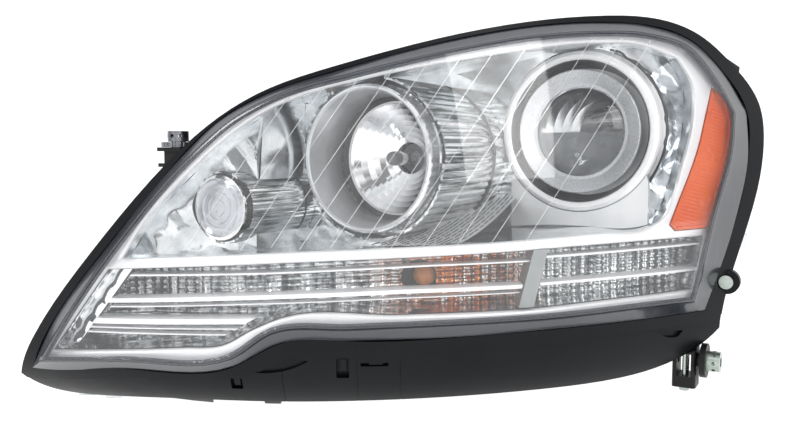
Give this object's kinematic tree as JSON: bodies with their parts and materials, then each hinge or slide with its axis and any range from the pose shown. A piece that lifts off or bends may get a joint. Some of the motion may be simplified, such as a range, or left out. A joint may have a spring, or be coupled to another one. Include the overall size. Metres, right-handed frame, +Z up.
{
  "type": "car headlight assembly",
  "caption": "Swept car headlight for the left side: curved clear cover, projector low beam, tube high beam, turn signal, amber side reflector, aimable lamp carrier and twist-off rear caps.",
  "frame": {"origin": "centre of the bore in the steel sleeve of the upper inner mount", "axes": "+X outboard across the car, -Y forward along the beam axes, +Z up along the upper inner mount's bore"},
  "size_m": [0.5617, 0.4633, 0.3275],
  "materials": {
    "housing": "moulded black, fine texture",
    "clear_cover": "clear polycarbonate, gloss",
    "seal": "matt",
    "clear_tab": "clear moulded plastic",
    "bezel_silver": "bright metallised plastic",
    "satin_silver": "satin",
    "turn_optic": "bright metallised plastic",
    "grey_bar": "grey, satin",
    "amber": "amber reflex plastic",
    "clear_optic": "clear moulded optic",
    "reflector": "vacuum metallised",
    "lens_glass": "polished glass",
    "bulb_glass": "clear glass",
    "amber_glass": "amber glass",
    "bulb_metal": "nickel plated",
    "steel": "zinc plated steel",
    "dark_plastic": "glass-filled nylon",
    "grey_plastic": "grey nylon",
    "white_plastic": "white acetal",
    "shade_steel": "black heat-resistant coating"
  },
  "bodies": {
    "lamp": {"housing": "housing", "front_cover": "clear_cover", "cover_seal": "seal", "cover_tabs": "clear_tab", "bezel": "bezel_silver", "high_beam_shroud": "bezel_silver", "low_beam_collar": "satin_silver", "position_lamp_shroud": "bezel_silver", "turn_divider": "grey_bar", "turn_louvres": "satin_silver", "turn_reflector": "turn_optic", "side_reflector": "amber", "low_beam_trim": "satin_silver", "high_beam_tube": "satin_silver", "position_lamp_lens": "clear_optic", "position_lamp_cup": "reflector", "pivot_post": "dark_plastic", "cap_seals": "seal", "main_connector": "dark_plastic", "vents": "seal", "housing_screws": "steel", "upper_inner_sleeve": "steel", "upper_inner_bracket": "dark_plastic", "lower_outer_bracket": "dark_plastic", "lower_outer_sleeve": "steel", "outer_ear_insert": "steel", "upper_outer_clip": "dark_plastic"},
    "lock_washer": {"upper_inner_washer": "steel"},
    "pivot": {"pivot_block": "white_plastic"},
    "carrier": {"carrier_frame": "dark_plastic", "high_beam_reflector": "reflector", "projector_reflector": "reflector", "lens_holder": "satin_silver", "projector_lens": "lens_glass", "cutoff_shade": "shade_steel", "high_beam_bulb": "bulb_glass", "high_beam_base": "bulb_metal", "low_beam_bulb": "bulb_glass", "low_beam_base": "bulb_metal", "high_beam_clip_pin": "steel", "low_beam_clip_pin": "steel"},
    "high_beam_bulb_clip": {"high_beam_clip": "steel"},
    "low_beam_bulb_clip": {"low_beam_clip": "steel"},
    "tilt_screw": {"tilt_stud": "steel"},
    "tilt_nut": {"tilt_knob": "white_plastic"},
    "pan_screw": {"pan_stud": "steel"},
    "pan_nut": {"pan_knob": "white_plastic"},
    "low_cap": {"low_beam_cap": "dark_plastic"},
    "high_cap": {"high_beam_cap": "dark_plastic"},
    "turn_holder": {"turn_socket": "grey_plastic", "turn_bulb": "amber_glass"},
    "position_holder": {"position_socket": "grey_plastic", "position_bulb": "bulb_glass"},
    "marker_holder": {"marker_socket": "grey_plastic", "marker_bulb": "bulb_glass"}
  },
  "joints": [
    {"name": "aim_pan", "type": "hinge", "parent": "lamp", "child": "pivot", "pos_m": [0.21, 0.24, 0.062], "axis": [0, 0, 1], "range_deg": [-1.5, 1.5]},
    {"name": "aim_tilt", "type": "hinge", "parent": "pivot", "child": "carrier", "pos_m": [0.21, 0.24, 0.062], "axis": [1, 0, 0], "range_deg": [-2, 2]},
    {"name": "tilt_screw_slide", "type": "slide", "parent": "lamp", "child": "tilt_screw", "axis": [0, 1, 0], "range_m": [-0.00488, 0.00488]},
    {"name": "tilt_nut_spin", "type": "hinge", "parent": "lamp", "child": "tilt_nut", "pos_m": [0.21, 0.3223, -0.075], "axis": [0, 1, 0], "range_deg": [-585.34, 585.34]},
    {"name": "pan_screw_slide", "type": "slide", "parent": "lamp", "child": "pan_screw", "axis": [0, 1, 0], "range_m": [-0.00246, 0.00246]},
    {"name": "pan_nut_spin", "type": "hinge", "parent": "lamp", "child": "pan_nut", "pos_m": [0.302, 0.3223, 0.062], "axis": [0, 1, 0], "range_deg": [-294.81, 294.81]},
    {"name": "high_clip_swing", "type": "hinge", "parent": "carrier", "child": "high_beam_bulb_clip", "pos_m": [0.138, 0.1616, -0.0345], "axis": [1, 0, 0], "range_deg": [-45, 0]},
    {"name": "low_clip_swing", "type": "hinge", "parent": "carrier", "child": "low_beam_bulb_clip", "pos_m": [0.2688, 0.3076, -0.0112], "axis": [1, 0, 0], "range_deg": [-45, 0]},
    {"name": "low_cap_twist", "type": "hinge", "parent": "lamp", "child": "low_cap", "pos_m": [0.2688, 0.322, 0.0088], "axis": [0, 1, 0], "range_deg": [-40, 0]},
    {"name": "high_cap_twist", "type": "hinge", "parent": "lamp", "child": "high_cap", "pos_m": [0.138, 0.222, -0.0145], "axis": [0, 1, 0], "range_deg": [-40, 0]},
    {"name": "turn_socket_twist", "type": "hinge", "parent": "lamp", "child": "turn_holder", "pos_m": [0.165, 0.166, -0.113], "axis": [0, 1, 0], "range_deg": [0, 45]},
    {"name": "position_socket_twist", "type": "hinge", "parent": "lamp", "child": "position_holder", "pos_m": [0.053, 0.098, -0.0521], "axis": [0, 1, 0], "range_deg": [0, 45]},
    {"name": "marker_socket_twist", "type": "hinge", "parent": "lamp", "child": "marker_holder", "pos_m": [0.32803, 0.37183, -0.02], "axis": [-0.5, 0.866, 0], "range_deg": [0, 45]},
    {"name": "lock_washer_spin", "type": "hinge", "parent": "lamp", "child": "lock_washer", "pos_m": [0, 0, -0.003], "axis": [0, 0, 1], "range_deg": [-180, 180]}
  ],
  "couplings": [
    {"joint": "tilt_screw_slide", "follows": "aim_tilt", "m_per_rad": 0.137},
    {"joint": "tilt_nut_spin", "follows": "aim_tilt", "ratio": 286.93},
    {"joint": "pan_screw_slide", "follows": "aim_pan", "m_per_rad": 0.092},
    {"joint": "pan_nut_spin", "follows": "aim_pan", "ratio": 192.68}
  ]
}
